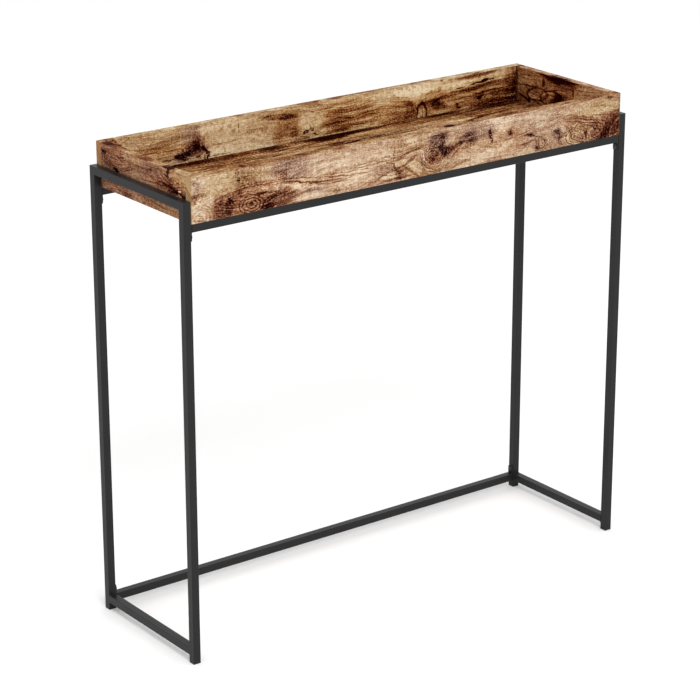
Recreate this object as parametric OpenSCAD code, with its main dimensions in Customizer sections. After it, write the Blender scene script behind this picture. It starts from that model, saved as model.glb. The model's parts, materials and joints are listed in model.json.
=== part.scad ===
// Console table: a boxed wooden tray held between two welded square-tube end frames.
// Three rails bolt the end frames together, and the tray stands on the two upper rails.
// Millimetres, +Z up, +X along the table, -Y the front. The origin is on the floor, under the centre.

/* [Overall size] */
// Length over the legs
table_l = 1016; // [700:2:1400]
// Depth over the legs
frame_d = 304; // [240:2:400]
// Height of the tray's top edge above the floor
table_h = 913; // [700:1:1000]

/* [Frame tube] */
// Outside width of the square tube
tube = 15; // [14:0.5:20]
// Wall thickness of the tube
wall = 1.2; // [1:0.1:1.5]
// Outside corner radius of the tube
tube_r = 0.6; // [0.4:0.1:2.5]

/* [End frames] */
// Clear height under the lower side bars and the lower rail
bar_clear = 15; // [10:1:200]
// How far the legs and top bars rise above the upper rails
bar_rise = 40.5; // [20:0.5:60]

/* [Rail end plates] */
// Thickness of an end plate
plate_t = 2.5; // [2:0.5:4]
// Width of an end plate
plate_w = 13; // [12:0.5:14]
// How far the plate's tongue reaches past the rail
tongue_l = 17; // [16:1:24]
// Corner radius at the tongue's end
tongue_r = 3.5; // [1:0.5:5]

/* [Tray] */
// Height of the tray's boards
tray_h = 83; // [60:1:120]
// Thickness of every board of the tray
board_t = 15; // [15:1:18]
// How far the tray stands proud of the legs, at the front and at the back
tray_proud = 0.5; // [0:0.1:2]
// Gap between each end of the tray and the legs
end_gap = 0.75; // [0.5:0.05:3]
// Thickness of the edging strips
edging_t = 1; // [0.5:0.1:2]

/* [Fasteners] */
// Thread diameter of the frame bolts
bolt_d = 6; // [5:1:6]
// Length of a frame bolt under its head
bolt_l = 10; // [8:1:11]
// Head diameter of a frame bolt
bolt_head_d = 10; // [9.5:0.5:11]
// Head height of a frame bolt
bolt_head_h = 3; // [2.5:0.1:3.3]
// Screws in each upper rail
rail_screws = 3; // [2:1:5]
// Length of a tray screw under its head
screw_l = 15; // [12:1:20]
// Diameter of a dowel
dowel_d = 6; // [5:1:6]
// Dowels along each long side of the tray floor
floor_dowels = 4; // [2:1:6]

/* [Foot plugs] */
// Thickness of the part of a foot plug that shows
foot_t = 1.5; // [1:0.5:4]
// Length of a foot plug inside the leg
foot_stem = 12; // [8:1:20]

/* [Hidden] */

LEFT = -1;
RIGHT = 1;
FRONT = -1;
REAR = 1;
UP = 1;
DOWN = -1;

$fn = 48;
bore_r = max(tube_r - wall, 0.4);
inner = tube - 2 * wall;

leg_x = table_l / 2 - tube / 2;
leg_y = frame_d / 2 - tube / 2;
inner_face_x = table_l / 2 - tube;

rail_top = table_h - tray_h;
upper_rail_z = rail_top - tube;
lower_rail_z = bar_clear;
leg_top = rail_top + bar_rise;
rail_l = 2 * inner_face_x - 2 * plate_t;

tray_l = 2 * inner_face_x - 2 * end_gap;
tray_d = frame_d + 2 * tray_proud;
tray_inner_d = tray_d - 2 * board_t;
core_h = tray_h - edging_t;

// A frame bolt's centre stands this far past its rail's face, in the middle of the tongue.
bolt_offset = tongue_l / 2;
clearance = 0.25;
nut_r = bolt_d / 2 + 1.5;
nut_l = 10;
nut_flange_r = nut_r + 1;
nut_flange_t = 0.4;

screw_r = 2;
screw_head_r = 3.7;
screw_head_h = 2.2;
screw_access_r = 4.5;
screw_inset = 90;

corner_dowel_l = 25;
corner_dowel_in_board = 10;
floor_dowel_l = 24;
dowel_seat = 1;

// Each rail end: [side, front or rear, rail underside, way the tongue points].
UPPER_ENDS = [for (side = [LEFT, RIGHT]) for (y = [FRONT, REAR]) [side, y, upper_rail_z, DOWN]];
LOWER_ENDS = [for (side = [LEFT, RIGHT]) [side, REAR, lower_rail_z, UP]];
RAIL_ENDS = concat(UPPER_ENDS, LOWER_ENDS);

function tongue_z(end, reach) = end[3] == DOWN ? end[2] - reach : end[2] + tube + reach;
function bolt_z(end) = tongue_z(end, bolt_offset);
function spread(count, span) = [for (i = [0 : count - 1]) (i / (count - 1) - 0.5) * span];

// ---------- profiles ----------

module rounded_square(width, r) {
    square([width - 2 * r, width], center = true);
    square([width, width - 2 * r], center = true);
    for (x = [-1, 1]) for (y = [-1, 1])
        translate([x, y] * (width / 2 - r)) circle(r);
}

module tube_profile() {
    difference() {
        rounded_square(tube, tube_r);
        rounded_square(inner, bore_r);
    }
}

// A straight tube along +Z from the origin.
module tube_z(length) {
    linear_extrude(length) tube_profile();
}

module tube_x(length) {
    rotate([90, 0, 90]) translate([0, 0, -length / 2]) tube_z(length);
}

module tube_y(length) {
    rotate([90, 0, 0]) translate([0, 0, -length / 2]) tube_z(length);
}

// ---------- end frames ----------

// The mitre runs from the frame's inside corner up to its outside corner.
// above = true is everything over the mitre, which the leg loses; false is what the top bar loses.
module mitre_cut(y, above) {
    translate([0, y * (frame_d / 2 - tube), leg_top - tube]) rotate([45 * y, 0, 0])
        translate([-tube, -3 * tube, above ? 0 : -3 * tube]) cube([2 * tube, 6 * tube, 3 * tube]);
}

module bolt_holes_in_leg(side, y) {
    for (end = RAIL_ENDS) if (end[0] == side && end[1] == y)
        translate([side * (inner_face_x - 1), y * leg_y, bolt_z(end)]) rotate([0, 90 * side, 0]) {
            cylinder(r = nut_r, h = wall + 2);
            cylinder(r = nut_flange_r, h = 1 + nut_flange_t);
        }
}

module leg(side, y) {
    color([0.2, 0.2, 0.21]) difference() {
        translate([side * leg_x, y * leg_y, foot_t]) tube_z(leg_top - foot_t);
        translate([side * leg_x, 0, 0]) mitre_cut(y, true);
        bolt_holes_in_leg(side, y);
    }
}

module top_bar(side) {
    color([0.2, 0.2, 0.21]) translate([side * leg_x, 0, 0]) difference() {
        translate([0, 0, leg_top - tube / 2]) tube_y(frame_d);
        for (y = [FRONT, REAR]) mitre_cut(y, false);
    }
}

module lower_bar(side) {
    color([0.2, 0.2, 0.21])
        translate([side * leg_x, 0, bar_clear + tube / 2]) tube_y(frame_d - 2 * tube);
}

// ---------- rails ----------

module rail(y, z) {
    translate([0, y * leg_y, z + tube / 2]) tube_x(rail_l);
}

module upper_rail(y) {
    color([0.2, 0.2, 0.21]) difference() {
        rail(y, upper_rail_z);
        for (x = spread(rail_screws, rail_l - 2 * screw_inset)) translate([x, y * leg_y, 0]) {
            translate([0, 0, upper_rail_z - 1]) cylinder(r = screw_access_r, h = wall + 2);
            translate([0, 0, rail_top - wall - 1]) cylinder(r = screw_r + clearance, h = wall + 2);
        }
    }
}

module lower_rail() {
    color([0.2, 0.2, 0.21]) rail(REAR, lower_rail_z);
}

// Flat end plate, drawn in the YZ plane. The tongue's two free corners are round.
module end_plate(end) {
    far = tongue_z(end, tongue_l);
    root = end[3] == DOWN ? end[2] + tube : end[2];
    low = min(far, root);
    high = max(far, root);
    round_z = end[3] == DOWN ? low + tongue_r : high - tongue_r;
    square_low = end[3] == DOWN ? low + tongue_r : low;
    square_high = end[3] == DOWN ? high : high - tongue_r;
    start = end[0] == LEFT ? -inner_face_x : inner_face_x - plate_t;
    color([0.2, 0.2, 0.21]) difference() {
        translate([start, end[1] * leg_y, 0]) rotate([90, 0, 90]) linear_extrude(plate_t) {
            translate([-plate_w / 2, square_low]) square([plate_w, square_high - square_low]);
            translate([-plate_w / 2 + tongue_r, low]) square([plate_w - 2 * tongue_r, high - low]);
            for (side = [-1, 1]) translate([side * (plate_w / 2 - tongue_r), round_z]) circle(tongue_r);
        }
        translate([start - 1, end[1] * leg_y, bolt_z(end)]) rotate([0, 90, 0])
            cylinder(r = bolt_d / 2 + clearance, h = plate_t + 2);
    }
}

// ---------- fasteners ----------

// Domed socket-head bolt. The underside of the head is at the origin and the shank runs along +Z.
module frame_bolt() {
    head_r = bolt_head_d / 2;
    difference() {
        union() {
            cylinder(r = bolt_d / 2 - 0.05, h = bolt_l);
            rotate_extrude() intersection() {
                translate([0, -bolt_head_h]) square([head_r, bolt_head_h]);
                union() {
                    translate([0, -0.8]) square([head_r, 0.8]);
                    translate([0, 2 * head_r - bolt_head_h]) circle(2 * head_r);
                }
            }
        }
        translate([0, 0, -bolt_head_h - 1]) cylinder(r = bolt_d / 3, h = bolt_head_h / 2 + 1.4, $fn = 6);
    }
}

module frame_bolts() {
    color([0.16, 0.16, 0.17]) for (end = RAIL_ENDS)
        translate([end[0] * (inner_face_x - plate_t), end[1] * leg_y, bolt_z(end)])
            rotate([0, 90 * end[0], 0]) frame_bolt();
}

// Threaded insert with a thin flange let into the leg's face.
module rivet_nut() {
    difference() {
        union() {
            cylinder(r = nut_r, h = nut_l);
            cylinder(r = nut_flange_r, h = nut_flange_t);
        }
        translate([0, 0, -1]) cylinder(r = bolt_d / 2, h = nut_l + 2);
    }
}

module frame_rivet_nuts() {
    color("silver") for (end = RAIL_ENDS)
        translate([end[0] * inner_face_x, end[1] * leg_y, bolt_z(end)])
            rotate([0, 90 * end[0], 0]) rivet_nut();
}

module tray_screw() {
    cylinder(r = screw_head_r, h = screw_head_h);
    cylinder(r = screw_r, h = screw_head_h + screw_l - 3);
    translate([0, 0, screw_head_h + screw_l - 3]) cylinder(r1 = screw_r, r2 = 0.3, h = 3);
}

// The heads bear on the inside of the rail's top wall, and the points go up into the boards.
module tray_screws() {
    color("silver") for (y = [FRONT, REAR]) for (x = spread(rail_screws, rail_l - 2 * screw_inset))
        translate([x, y * leg_y, rail_top - wall - screw_head_h]) tray_screw();
}

// ---------- feet ----------

module foot(side, y) {
    stem = inner - 0.2;
    color([0.06, 0.06, 0.06]) translate([side * leg_x, y * leg_y, 0]) {
        linear_extrude(foot_t) rounded_square(tube, tube_r);
        translate([0, 0, foot_t]) linear_extrude(foot_stem) difference() {
            rounded_square(stem, bore_r);
            square(stem - 4, center = true);
        }
    }
}

// ---------- tray ----------

module corner_dowel_places() {
    for (side = [LEFT, RIGHT]) for (y = [FRONT, REAR]) for (z = [0.3, 0.72])
        translate([side * (tray_l / 2 - board_t / 2), y * (tray_inner_d / 2 + corner_dowel_in_board),
                   rail_top + z * tray_h])
            rotate([90 * y, 0, 0]) children();
}

module floor_dowel_places() {
    for (y = [FRONT, REAR]) for (x = spread(floor_dowels, tray_l - 2 * screw_inset - 160))
        translate([x, y * (tray_inner_d / 2 + corner_dowel_in_board), rail_top + board_t / 2])
            rotate([90 * y, 0, 0]) children();
}

module dowel_hole(length) {
    translate([0, 0, -dowel_seat]) cylinder(r = dowel_d / 2, h = length + 2 * dowel_seat);
}

module dowel_holes() {
    corner_dowel_places() dowel_hole(corner_dowel_l);
    floor_dowel_places() dowel_hole(floor_dowel_l);
}

module screw_pilots() {
    for (y = [FRONT, REAR]) for (x = spread(rail_screws, rail_l - 2 * screw_inset))
        translate([x, y * leg_y, rail_top - 1]) cylinder(r = screw_r, h = screw_l + 1);
}

module long_board(y) {
    color(y == FRONT ? [0.78, 0.65, 0.53] : [0.66, 0.5, 0.34]) difference() {
        translate([-tray_l / 2 + edging_t, y * (tray_d / 2 - board_t / 2) - board_t / 2, rail_top])
            cube([tray_l - 2 * edging_t, board_t, core_h]);
        dowel_holes();
        screw_pilots();
    }
}

module end_board(side) {
    color([0.55, 0.4, 0.28]) difference() {
        translate([side * (tray_l / 2 - board_t / 2) - board_t / 2, -tray_inner_d / 2, rail_top])
            cube([board_t, tray_inner_d, core_h]);
        dowel_holes();
    }
}

module tray_floor() {
    color([0.62, 0.45, 0.3]) difference() {
        translate([-tray_l / 2 + board_t, -tray_inner_d / 2, rail_top])
            cube([tray_l - 2 * board_t, tray_inner_d, board_t]);
        dowel_holes();
    }
}

// One strip on the top edge and one on each end of a long board.
module long_edging(y) {
    color([0.8, 0.66, 0.5]) translate([0, y * (tray_d / 2 - board_t / 2) - board_t / 2, rail_top]) {
        translate([-tray_l / 2 + edging_t, 0, core_h]) cube([tray_l - 2 * edging_t, board_t, edging_t]);
        for (side = [LEFT, RIGHT])
            translate([side * (tray_l / 2 - edging_t / 2) - edging_t / 2, 0, 0])
                cube([edging_t, board_t, tray_h]);
    }
}

module end_edging(side) {
    color([0.8, 0.66, 0.5])
        translate([side * (tray_l / 2 - board_t / 2) - board_t / 2, -tray_inner_d / 2, rail_top + core_h])
            cube([board_t, tray_inner_d, edging_t]);
}

module tray_corner_dowels() {
    color("burlywood") corner_dowel_places() cylinder(r = dowel_d / 2, h = corner_dowel_l);
}

module tray_floor_dowels() {
    color("burlywood") floor_dowel_places() cylinder(r = dowel_d / 2, h = floor_dowel_l);
}

// ---------- nodes ----------

leg(LEFT, FRONT);  // left_front_leg
leg(LEFT, REAR);  // left_rear_leg
top_bar(LEFT);  // left_top_bar
lower_bar(LEFT);  // left_lower_bar
leg(RIGHT, FRONT);  // right_front_leg
leg(RIGHT, REAR);  // right_rear_leg
top_bar(RIGHT);  // right_top_bar
lower_bar(RIGHT);  // right_lower_bar
foot(LEFT, FRONT);  // left_front_foot
foot(LEFT, REAR);  // left_rear_foot
foot(RIGHT, FRONT);  // right_front_foot
foot(RIGHT, REAR);  // right_rear_foot
upper_rail(FRONT);  // front_upper_rail
upper_rail(REAR);  // rear_upper_rail
lower_rail();  // rear_lower_rail
end_plate([LEFT, FRONT, upper_rail_z, DOWN]);  // front_upper_rail_left_plate
end_plate([RIGHT, FRONT, upper_rail_z, DOWN]);  // front_upper_rail_right_plate
end_plate([LEFT, REAR, upper_rail_z, DOWN]);  // rear_upper_rail_left_plate
end_plate([RIGHT, REAR, upper_rail_z, DOWN]);  // rear_upper_rail_right_plate
end_plate([LEFT, REAR, lower_rail_z, UP]);  // rear_lower_rail_left_plate
end_plate([RIGHT, REAR, lower_rail_z, UP]);  // rear_lower_rail_right_plate
frame_bolts();
frame_rivet_nuts();
long_board(FRONT);  // tray_front_board
long_board(REAR);  // tray_rear_board
end_board(LEFT);  // tray_left_board
end_board(RIGHT);  // tray_right_board
tray_floor();
long_edging(FRONT);  // tray_front_edging
long_edging(REAR);  // tray_rear_edging
end_edging(LEFT);  // tray_left_edging
end_edging(RIGHT);  // tray_right_edging
tray_corner_dowels();
tray_floor_dowels();
tray_screws();
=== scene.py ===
"""Looks of the console table: printed reclaimed-wood boards in a powder-coated square-tube frame.

Every length is in metres, in the frame's own axes: +X along the table, +Y to the rear, +Z up.
Only the lists of marks are in millimetres.
"""
import json
import math

import bmesh
import bpy
from mathutils import Matrix, Vector


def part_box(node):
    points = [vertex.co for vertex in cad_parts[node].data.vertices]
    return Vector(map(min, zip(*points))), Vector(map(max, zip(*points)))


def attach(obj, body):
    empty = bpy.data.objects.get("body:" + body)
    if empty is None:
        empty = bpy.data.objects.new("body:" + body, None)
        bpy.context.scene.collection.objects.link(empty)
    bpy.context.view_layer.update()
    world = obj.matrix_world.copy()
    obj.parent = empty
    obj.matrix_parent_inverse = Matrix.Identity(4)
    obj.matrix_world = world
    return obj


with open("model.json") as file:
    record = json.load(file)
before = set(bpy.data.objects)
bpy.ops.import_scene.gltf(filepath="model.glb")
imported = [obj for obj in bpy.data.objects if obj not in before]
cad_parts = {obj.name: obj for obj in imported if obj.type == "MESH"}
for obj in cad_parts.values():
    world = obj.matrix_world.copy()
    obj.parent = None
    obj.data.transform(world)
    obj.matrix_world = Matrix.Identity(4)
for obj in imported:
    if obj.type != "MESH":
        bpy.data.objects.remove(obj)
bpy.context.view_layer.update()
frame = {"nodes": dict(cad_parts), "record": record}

MM = 0.001
NODES = frame["nodes"]
X_AXIS, Y_AXIS, Z_AXIS = 0, 1, 2

# ---------------------------------------------------------------- node trees


def linear(red, green, blue):
    """A colour given as 0 to 255 screen values, as the linear colour that shaders take."""
    def channel(value):
        value /= 255.0
        return value / 12.92 if value <= 0.04045 else ((value + 0.055) / 1.055) ** 2.4
    return (channel(red), channel(green), channel(blue), 1.0)


class Graph:
    """Short names for building one node tree."""

    def __init__(self, tree):
        self.tree = tree
        self.tree.nodes.clear()

    def add(self, kind, inputs, **settings):
        """A new node. inputs maps a socket's name or number to a value or to another node's output."""
        node = self.tree.nodes.new(kind)
        for name, value in settings.items():
            setattr(node, name, value)
        for name, value in inputs.items():
            if isinstance(value, bpy.types.NodeSocket):
                self.tree.links.new(value, node.inputs[name])
            else:
                node.inputs[name].default_value = value
        return node

    def math(self, operation, a, b=0.0, c=0.0):
        return self.add("ShaderNodeMath", {0: a, 1: b, 2: c}, operation=operation).outputs[0]

    def vector(self, operation, a, b):
        return self.add("ShaderNodeVectorMath", {0: a, 1: b}, operation=operation).outputs["Vector"]

    def dot(self, a, b):
        return self.add("ShaderNodeVectorMath", {0: a, 1: b}, operation="DOT_PRODUCT").outputs["Value"]

    def combine(self, x, y, z=0.0):
        return self.add("ShaderNodeCombineXYZ", {0: x, 1: y, 2: z}).outputs[0]

    def separate(self, vector):
        return self.add("ShaderNodeSeparateXYZ", {0: vector}).outputs

    def stretch(self, vector, scale, shift=0.0):
        """vector times scale, and moved by shift, which picks another part of a noise pattern."""
        mapping = {"Vector": vector, "Scale": scale, "Location": (shift, 0.37 * shift, 0.71 * shift)}
        return self.add("ShaderNodeMapping", mapping, vector_type="POINT").outputs[0]

    def noise(self, vector, scale, detail=2.0, roughness=0.5, flat=False):
        sockets = {"Vector": vector, "Scale": scale, "Detail": detail, "Roughness": roughness}
        dimensions = "2D" if flat else "3D"
        return self.add("ShaderNodeTexNoise", sockets, noise_dimensions=dimensions).outputs

    def remap(self, value, low, high, to_low=0.0, to_high=1.0):
        """value between low and high, carried to the range to_low to to_high and held inside it."""
        sockets = {"Value": value, "From Min": low, "From Max": high, "To Min": to_low, "To Max": to_high}
        node = self.add("ShaderNodeMapRange", sockets, interpolation_type="SMOOTHSTEP", clamp=False)
        return node.outputs[0]

    def ramp(self, value, colours):
        """The colours, evenly spaced over values from 0 to 1."""
        node = self.add("ShaderNodeValToRGB", {"Fac": value})
        stops = node.color_ramp.elements
        stops[0].color, stops[1].color = colours[0], colours[-1]
        for i, colour in enumerate(colours[1:-1], 1):
            stops.new(i / (len(colours) - 1)).color = colour
        return node.outputs[0]

    def mix(self, factor, a, b):
        """Colour a where factor is 0 and colour b where it is 1."""
        return self.add("ShaderNodeMix", {"Factor": factor, 6: a, 7: b}, data_type="RGBA").outputs[2]

    def blend_value(self, factor, a, b):
        """The same for two values."""
        return self.add("ShaderNodeMix", {0: factor, 2: a, 3: b}, data_type="FLOAT").outputs[0]

    def bump(self, height, depth, strength=1.0):
        """A normal that follows height, where 1 is depth metres."""
        sockets = {"Height": height, "Distance": depth, "Strength": strength}
        return self.add("ShaderNodeBump", sockets).outputs[0]

    def finish(self, colour, roughness, normal=None, **plain):
        """The surface. plain holds the sockets that are the same all over it."""
        sockets = {"Base Color": colour, "Roughness": roughness}
        if normal is not None:
            sockets["Normal"] = normal
        sockets.update({name.replace("_", " "): value for name, value in plain.items()})
        shader = self.add("ShaderNodeBsdfPrincipled", sockets)
        self.add("ShaderNodeOutputMaterial", {"Surface": shader.outputs[0]})


def new_material(name):
    material = bpy.data.materials.new(name)
    material.use_nodes = True
    return material, Graph(material.node_tree)


def new_group(name, vectors, values, build):
    """A node group with these inputs, vectors first, and one output, which is what build makes of them."""
    tree = bpy.data.node_groups.new(name, "ShaderNodeTree")
    for socket in vectors:
        tree.interface.new_socket(socket, in_out="INPUT", socket_type="NodeSocketVector")
    for socket in values:
        tree.interface.new_socket(socket, in_out="INPUT", socket_type="NodeSocketFloat")
    tree.interface.new_socket("Result", in_out="OUTPUT", socket_type="NodeSocketFloat")
    g = Graph(tree)
    entry = g.add("NodeGroupInput", {})
    result = build(g, *[entry.outputs[socket] for socket in vectors + values])
    g.add("NodeGroupOutput", {"Result": result})
    return tree


def object_place(g):
    return g.add("ShaderNodeTexCoord", {}).outputs["Object"]


def object_normal(g):
    return g.add("ShaderNodeTexCoord", {}).outputs["Normal"]


# ---------------------------------------------------------------- printed wood

# Marks on a face, in millimetres: (along, up, half length, half height, tilt in degrees, strength).
# along is from the left end of what shows of the face, looked at in the +X or +Y direction, or from above,
# and up is from its lower edge. A knot's strength is how far it lifts the grain, and a ring mark has a
# seventh number, how many rings it holds. Stain, line and ring strengths move the tone, where 1 is from
# black to cream, and the strengths in the last three lists say how far the print takes on that colour.
FRONT_OUTER = {
    "knots": [
        (116, 12, 140, 50, 0, 40), (535, 27, 56, 40, 10, 46), (762, 52, 14, 10, 0, 7),
        (788, 13, 22, 18, 0, 16), (838, 12, 16, 16, 0, 10), (905, 4, 110, 56, -6, 46),
        (440, 30, 46, 30, 20, 12),
    ],
    "rings": [
        (124, 14, 38, 24, 0, -0.62, 5), (64, 17, 32, 30, 14, -0.2, 5), (18, 6, 40, 34, 20, -0.2, 5),
        (527, 27, 42, 34, 8, -0.3, 7), (592, 44, 30, 18, 20, -0.18, 4), (788, 14, 17, 16, 0, -0.42, 3),
        (838, 12, 15, 16, 0, -0.3, 3), (872, 14, 44, 26, -10, -0.32, 6), (762, 51, 14, 10, 0, -0.14, 3),
        (446, 13, 13, 12, 0, -0.2, 3), (925, 10, 56, 40, -30, -0.16, 6),
    ],
    "stains": [
        (10, 48, 20, 4, 6, -0.22), (8, 70, 14, 5, -30, -0.12), (97, 62, 4, 4.5, 0, -0.45),
        (94, 74, 4, 6, 0, -0.16), (112, 64, 5, 4, 0, -0.2), (104, 62, 22, 12, 0, -0.1),
        (58, 62, 36, 20, 0, 0.12), (140, 66, 34, 18, 0, -0.07), (72, 18, 34, 25, 0, -0.08),
        (54, 21, 13, 9, 0, -0.18), (50, 21, 5, 4, 0, -0.12), (78, 19, 9, 15, 0, -0.26),
        (78, 26, 9, 4.6, 0, -0.2), (77, 9, 7, 4.6, 0, -0.16), (66, 8, 20, 8, 0, -0.12),
        (92, 36, 20, 8, 36, -0.18), (101, 38, 4, 7, 0, -0.16), (124, 14, 32, 19, 0, -0.03),
        (124, 14, 8, 4, 0, -0.14), (152, 30, 28, 2.4, -3, -0.44), (140, 40, 60, 9, 0, -0.06),
        (182, 20, 44, 12, -4, -0.24), (190, 21, 30, 5.2, -4, -0.14), (163, 15, 14, 9, 20, -0.24),
        (157, 5, 15, 7, 0, -0.34), (186, 3, 40, 6, -3, -0.24), (255, 17, 24, 6, -12, -0.15),
        (308, 9, 8, 5, -20, -0.2), (189, 56, 14, 9, 0, -0.28), (208, 64, 38, 22, 0, -0.15),
        (345, 75, 6, 8, 0, -0.14), (300, 25, 16, 4, 0, -0.08), (285, 30, 50, 8, -4, -0.05),
        (242, 7, 32, 6, 4, 0.2), (22, 20, 30, 24, 20, 0.26), (226, 26, 14, 4, -20, 0.14),
        (375, 58, 60, 26, 0, 0.1), (290, 62, 40, 18, 0, 0.08), (770, 58, 42, 20, 0, 0.08),
        (640, 12, 90, 8, 14, 0.18), (478, 72, 14, 8, 0, 0.12), (510, 46, 14, 12, 20, 0.1),
        (700, 66, 20, 8, 30, 0.08), (912, 60, 44, 14, 0, 0.06), (360, 20, 60, 14, 0, 0.05),
        (536, 56, 23, 20, 0, -0.24), (547, 50, 8, 20, 10, -0.26), (532, 69, 15, 3.4, 10, -0.14),
        (519, 62, 4, 7, 30, -0.12), (553, 67, 9, 7, 0, -0.2), (558, 39, 14, 9, 25, -0.42),
        (557, 37, 7, 4.6, 25, -0.24), (582, 45, 18, 5.2, 20, -0.3), (590, 47, 6, 3, 20, -0.2),
        (530, 27, 16, 9, 0, -0.22), (526, 29, 6, 5, 0, -0.14), (568, 31, 18, 6, 20, -0.14),
        (612, 53, 16, 13, -20, -0.16), (640, 66, 36, 18, 0, -0.12), (614, 52, 6, 5, -20, -0.1),
        (604, 61, 8, 4.6, 0, -0.14), (612, 40, 18, 10, 30, -0.16), (596, 46, 50, 22, 0, -0.06),
        (600, 12, 42, 4, 8, -0.08), (566, 54, 12, 5, 40, 0.16), (450, 14, 14, 12, 0, -0.08),
        (661, 55, 3.6, 11, 8, -0.4), (662, 54, 7, 14, 8, -0.14), (665, 41, 2, 7, 12, -0.4),
        (709, 49, 5.6, 6.4, 0, -0.36), (709, 49, 10, 12, 0, -0.08), (757, 35, 14, 2.2, -10, -0.36),
        (773, 31, 12, 1.6, -14, -0.34), (746, 20, 12, 3, 0, -0.2), (775, 7, 6.6, 5.2, 0, -0.38),
        (750, 28, 50, 14, 0, -0.05), (825, 33, 8, 6, 0, -0.18), (825, 27, 10, 10, 0, -0.18),
        (824, 46, 6, 14, 0, -0.1), (788, 14, 5, 5, 0, 0.16), (898, 17, 5, 6.6, -20, -0.42),
        (923, 27, 8, 5.2, 40, -0.24), (955, 79, 8, 5, 0, -0.24), (850, 44, 62, 15, -6, -0.1),
        (912, 28, 34, 18, 0, 0.09), (962, 22, 26, 20, 0, -0.05), (960, 16, 48, 27, -20, -0.24),
        (972, 24, 16, 18, 0, -0.16), (410, 26, 30, 9, 4, -0.14), (424, 14, 16, 5.4, 10, 0.2),
        (486, 20, 16, 10, -30, 0.14), (512, 34, 18, 18, 0, -0.1), (448, 14, 8, 8, 0, -0.1),
        (476, 70, 13, 6, 0, 0.12), (492, 56, 20, 8, 20, -0.08),
        (946, 14, 10, 13, 0, -0.17), (952, 2, 40, 7, 0, -0.16), (976, 46, 16, 11, 0, -0.18),
        (930, 10, 20, 12, 0, -0.14), (982, 40, 5, 44, 0, -0.1),
    ],
    "lines": [
        (138, 46, 46, 1.4, 0, -0.3), (182, 41, 40, 1.2, -6, -0.2), (228, 37, 50, 1.5, -10, -0.34),
        (250, 31, 40, 1.3, -14, -0.28), (150, 50, 50, 1.2, -2, -0.22), (232, 43, 46, 1.3, -7, -0.28),
        (300, 34, 42, 1.3, -4, -0.28), (320, 38, 36, 1.2, -2, -0.22), (312, 23, 36, 1.3, -2, -0.24),
        (380, 46, 40, 1.2, 3, -0.2), (340, 42, 40, 1.1, -3, -0.16), (212, 33, 36, 1.6, -12, 0.16),
        (290, 28, 44, 1.4, -3, -0.3), (306, 31, 30, 1, 4, -0.19), (390, 42, 46, 1.2, 2, -0.24),
        (360, 37, 32, 1.2, -4, -0.21), (356, 30, 26, 1.2, -2, -0.24), (396, 36, 30, 1, 3, -0.19),
        (386, 34, 40, 1.2, 0, 0.11), (410, 15, 36, 2.2, 18, -0.2), (464, 31, 32, 2.6, 22, -0.22),
        (478, 51, 34, 2.2, 12, -0.22), (470, 56, 24, 1, 8, -0.16), (462, 40, 34, 1.2, 3, -0.21),
        (470, 44, 30, 1.2, 8, -0.19), (437, 56, 9, 1.6, 80, -0.21), (435, 46, 9, 1.2, 95, -0.19),
        (437, 27, 10, 2.4, -62, -0.24), (448, 13, 12, 3, -65, -0.2), (440, 5, 44, 2, 3, -0.22),
        (478, 12, 26, 2.6, -38, -0.24), (480, 22, 26, 1, -34, 0.1), (520, 12, 30, 1.1, -28, -0.16),
        (846, 60, 56, 1.2, -11, -0.19), (872, 52, 60, 1.2, -9, -0.22), (890, 45, 66, 1.4, -10, -0.27),
        (900, 38, 60, 1.3, -11, -0.27), (940, 47, 46, 1.2, -8, -0.24), (905, 30, 34, 1.3, -22, -0.24),
        (858, 30, 26, 1.3, 18, -0.21), (846, 22, 26, 1.1, 12, -0.18), (735, 42, 40, 1.1, 8, -0.21),
        (700, 36, 50, 1, 2, -0.11), (690, 6, 60, 1.1, -3, -0.16), (890, 44, 40, 1.2, -11, 0.11),
        (660, 34, 44, 1, 10, -0.13), (590, 6, 40, 1.2, 0, -0.14),
    ],
    "loops": [],
    "warm": [
        (90, 60, 84, 24, 0, 0.9), (905, 36, 34, 16, 0, 0.5), (470, 66, 40, 18, 0, 0.4),
        (540, 8, 90, 14, 0, 0.4), (930, 62, 60, 20, 0, 0.9), (866, 20, 36, 18, 0, 0.5),
        (600, 38, 40, 10, 10, 0.3), (488, 18, 44, 14, -20, 0.9), (424, 14, 18, 7, 10, 0.9),
    ],
    "grey": [
        (12, 66, 16, 14, 0, 0.8), (212, 62, 46, 22, 0, 1), (404, 26, 30, 12, 0, 0.8),
        (255, 17, 24, 7, -10, 1), (640, 64, 36, 20, 0, 0.8), (770, 60, 52, 22, 0, 0.6),
        (824, 34, 18, 22, 0, 1), (540, 54, 26, 24, 0, 1), (506, 30, 16, 18, 0, 0.5),
        (750, 30, 34, 10, -10, 0.8), (612, 54, 18, 14, 0, 0.8), (662, 54, 8, 16, 0, 1),
        (709, 49, 9, 9, 0, 1), (775, 7, 9, 7, 0, 1),
    ],
    "red": [
        (124, 14, 36, 24, 0, 1.4), (188, 56, 14, 9, 0, 0.5), (70, 16, 36, 24, 0, 0.7),
        (180, 26, 60, 24, -4, 0.6), (530, 27, 16, 8, 0, 1), (440, 30, 120, 36, 0, 0.4),
        (955, 18, 44, 30, 0, 0.7), (700, 36, 60, 24, 0, 0.7), (880, 46, 90, 14, -8, 0.5),
        (120, 44, 60, 8, 0, 0.8), (280, 32, 70, 10, -4, 0.7), (600, 36, 40, 14, 0, 0.6),
    ],
}
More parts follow.
